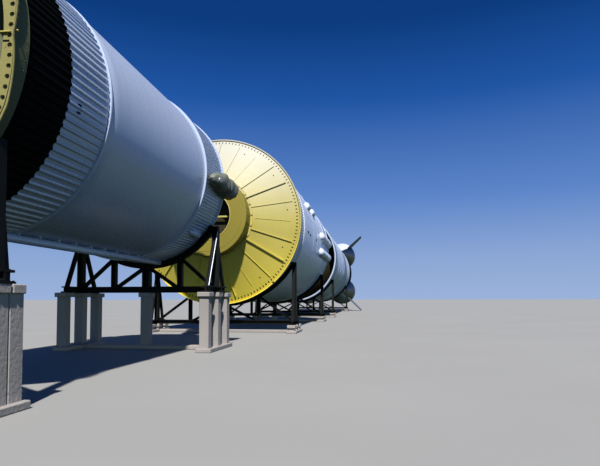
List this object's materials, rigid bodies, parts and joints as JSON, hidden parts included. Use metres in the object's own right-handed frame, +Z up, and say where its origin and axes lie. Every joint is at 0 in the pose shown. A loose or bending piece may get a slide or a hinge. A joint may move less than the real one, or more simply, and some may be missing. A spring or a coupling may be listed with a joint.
{
  "type": "moon rocket on display cradles, 1:10 scale model",
  "caption": "Three-stage moon rocket lying on steel cradles in separate stages, with its spacecraft, engine cover, fins and gimballed hollow engine bells; a 1:10 scale model.",
  "frame": {"origin": "centre of the model's footprint on the floor", "axes": "+X runs aft along the rocket, +Z is up and -Y is the side that faces the picture's viewer"},
  "size_m": [11.3162, 1.3704, 1.3752],
  "materials": {
    "white_paint": "weathered satin white paint",
    "black_paint": "matt black paint",
    "yellow_paint": "matt yellow paint",
    "ochre_paint": "matt ochre paint",
    "primer": "green primer",
    "bell_metal": "satin heat-stained metal",
    "bare_metal": "satin silver",
    "grey_wrap": "wrapped in dull grey sheet",
    "black_steel": "black paint on rolled steel",
    "concrete": "cast concrete"
  },
  "bodies": {
    "root": {"escape_rocket": "white_paint", "escape_tower": "bare_metal", "command_module": "bare_metal", "service_module": "bare_metal", "third_flange_ring": "yellow_paint", "third_primer_strip": "primer", "third_forward_band": "black_paint", "third_forward_skirt": "white_paint", "third_tank": "white_paint", "third_aft_skirt": "white_paint", "third_thrust_structure": "primer", "third_control_pod_right": "grey_wrap", "third_control_pod_left": "grey_wrap", "third_tunnel": "white_paint", "second_cover": "yellow_paint", "second_hub": "ochre_paint", "second_forward_skirt": "white_paint", "second_tank": "white_paint", "second_aft_skirt": "white_paint", "second_feed_fairing_1": "white_paint", "second_feed_fairing_2": "white_paint", "second_feed_fairing_3": "white_paint", "second_feed_fairing_4": "white_paint", "second_feed_fairing_5": "white_paint", "second_thrust_structure": "black_paint", "first_forward_skirt": "white_paint", "first_oxidiser_tank": "white_paint", "first_intertank": "white_paint", "first_fuel_tank": "white_paint", "first_thrust_section": "black_paint", "first_fairing_1": "white_paint", "first_fairing_2": "white_paint", "first_fairing_3": "white_paint", "first_fairing_4": "white_paint", "second_engine_centre": "bell_metal", "first_engine_centre": "bell_metal", "spacecraft_cradle": "black_steel", "spacecraft_footing": "concrete", "third_forward_cradle": "black_steel", "third_forward_footing": "concrete", "third_aft_cradle": "black_steel", "third_aft_footing": "concrete", "second_forward_cradle": "black_steel", "second_forward_footing": "concrete", "second_aft_cradle": "black_steel", "second_aft_footing": "concrete", "first_forward_cradle": "black_steel", "first_forward_footing": "concrete", "first_aft_cradle": "black_steel", "first_aft_footing": "concrete"},
    "service_engine": {"service_engine": "bell_metal"},
    "third_engine": {"third_engine": "bell_metal"},
    "second_engine_1": {"second_engine_1": "bell_metal"},
    "second_engine_2": {"second_engine_2": "bell_metal"},
    "second_engine_3": {"second_engine_3": "bell_metal"},
    "second_engine_4": {"second_engine_4": "bell_metal"},
    "first_engine_1": {"first_engine_1": "bell_metal"},
    "first_engine_2": {"first_engine_2": "bell_metal"},
    "first_engine_3": {"first_engine_3": "bell_metal"},
    "first_engine_4": {"first_engine_4": "bell_metal"}
  },
  "joints": [
    {"name": "second_engine_1_pitch", "type": "hinge", "parent": "root", "child": "second_engine_1", "pos_m": [0.71815, -0.1888, 0.8788], "axis": [0, 1, 0], "range_deg": [-7, 7]},
    {"name": "second_engine_2_pitch", "type": "hinge", "parent": "root", "child": "second_engine_2", "pos_m": [0.71815, 0.1888, 0.8788], "axis": [0, 1, 0], "range_deg": [-7, 7]},
    {"name": "second_engine_3_pitch", "type": "hinge", "parent": "root", "child": "second_engine_3", "pos_m": [0.71815, 0.1888, 0.5012], "axis": [0, 1, 0], "range_deg": [-7, 7]},
    {"name": "second_engine_4_pitch", "type": "hinge", "parent": "root", "child": "second_engine_4", "pos_m": [0.71815, -0.1888, 0.5012], "axis": [0, 1, 0], "range_deg": [-7, 7]},
    {"name": "first_engine_1_pitch", "type": "hinge", "parent": "root", "child": "first_engine_1", "pos_m": [5.08815, -0.32668, 1.01668], "axis": [0, 1, 0], "range_deg": [-5, 5]},
    {"name": "first_engine_2_pitch", "type": "hinge", "parent": "root", "child": "first_engine_2", "pos_m": [5.08815, 0.32668, 1.01668], "axis": [0, 1, 0], "range_deg": [-5, 5]},
    {"name": "first_engine_3_pitch", "type": "hinge", "parent": "root", "child": "first_engine_3", "pos_m": [5.08815, 0.32668, 0.36332], "axis": [0, 1, 0], "range_deg": [-5, 5]},
    {"name": "first_engine_4_pitch", "type": "hinge", "parent": "root", "child": "first_engine_4", "pos_m": [5.08815, -0.32668, 0.36332], "axis": [0, 1, 0], "range_deg": [-5, 5]},
    {"name": "third_engine_pitch", "type": "hinge", "parent": "root", "child": "third_engine", "pos_m": [-2.07585, 0, 0.69], "axis": [0, 1, 0], "range_deg": [-7, 7]},
    {"name": "service_engine_pitch", "type": "hinge", "parent": "root", "child": "service_engine", "pos_m": [-3.84685, 0, 0.69], "axis": [0, 1, 0], "range_deg": [-6, 6]}
  ],
  "couplings": [
    {"joint": "second_engine_2_pitch", "follows": "second_engine_1_pitch", "ratio": 1},
    {"joint": "second_engine_3_pitch", "follows": "second_engine_1_pitch", "ratio": 1},
    {"joint": "second_engine_4_pitch", "follows": "second_engine_1_pitch", "ratio": 1},
    {"joint": "first_engine_2_pitch", "follows": "first_engine_1_pitch", "ratio": 1},
    {"joint": "first_engine_3_pitch", "follows": "first_engine_1_pitch", "ratio": 1},
    {"joint": "first_engine_4_pitch", "follows": "first_engine_1_pitch", "ratio": 1}
  ]
}
